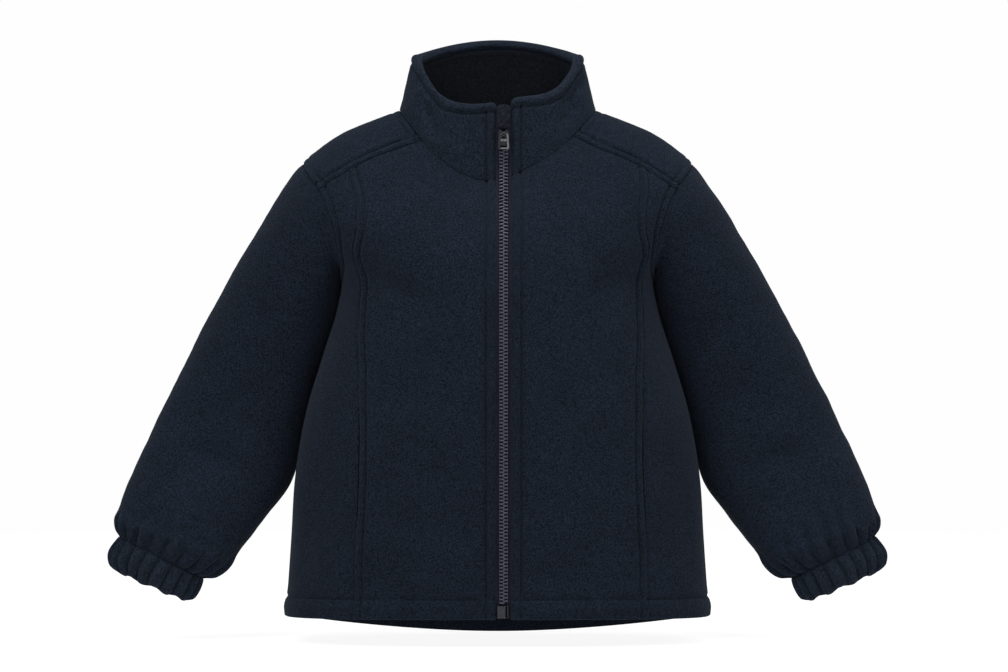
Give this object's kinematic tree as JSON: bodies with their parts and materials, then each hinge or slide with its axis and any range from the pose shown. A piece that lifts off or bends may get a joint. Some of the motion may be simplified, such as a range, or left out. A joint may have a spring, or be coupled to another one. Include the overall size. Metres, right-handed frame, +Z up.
{
  "type": "zip-up fleece jacket",
  "caption": "Zip-up fleece jacket, filled out: stand collar, panelled body with seam pockets, sleeves gathered into cuffs. Rigid hollow cloth, and the zip's pull swings.",
  "frame": {"origin": "the nape, at the middle of the back collar seam", "axes": "+X to the wearer's left, +Y out of the back, +Z up"},
  "size_m": [0.6028, 0.1698, 0.4712],
  "materials": {
    "fleece": "matt brushed fleece, dark navy",
    "tape": "matt woven tape, near black",
    "teeth": "bright zip teeth",
    "metal": "bright plated metal",
    "bag": "thin matt pocket cloth, dark navy"
  },
  "bodies": {
    "jacket": {"back": "fleece", "collar": "fleece", "cuff_left": "fleece", "cuff_right": "fleece", "front_left": "fleece", "front_right": "fleece", "pocket_bag_left": "bag", "pocket_bag_right": "bag", "side_front_left": "fleece", "side_front_right": "fleece", "sleeve_left": "fleece", "sleeve_right": "fleece", "sleeve_tab_left": "tape", "sleeve_tab_right": "tape", "zip_box": "metal", "zip_chain": "teeth", "zip_garage": "fleece", "zip_pin": "metal", "zip_slider": "metal", "zip_tape_left": "tape", "zip_tape_right": "tape"},
    "pull": {"pull_tab": "metal"}
  },
  "joints": [
    {"name": "pull_hinge", "type": "hinge", "parent": "jacket", "child": "pull", "pos_m": [0.0048, -0.09272, -0.01912], "axis": [-1, 0, 0], "range_deg": [0, 160]}
  ]
}
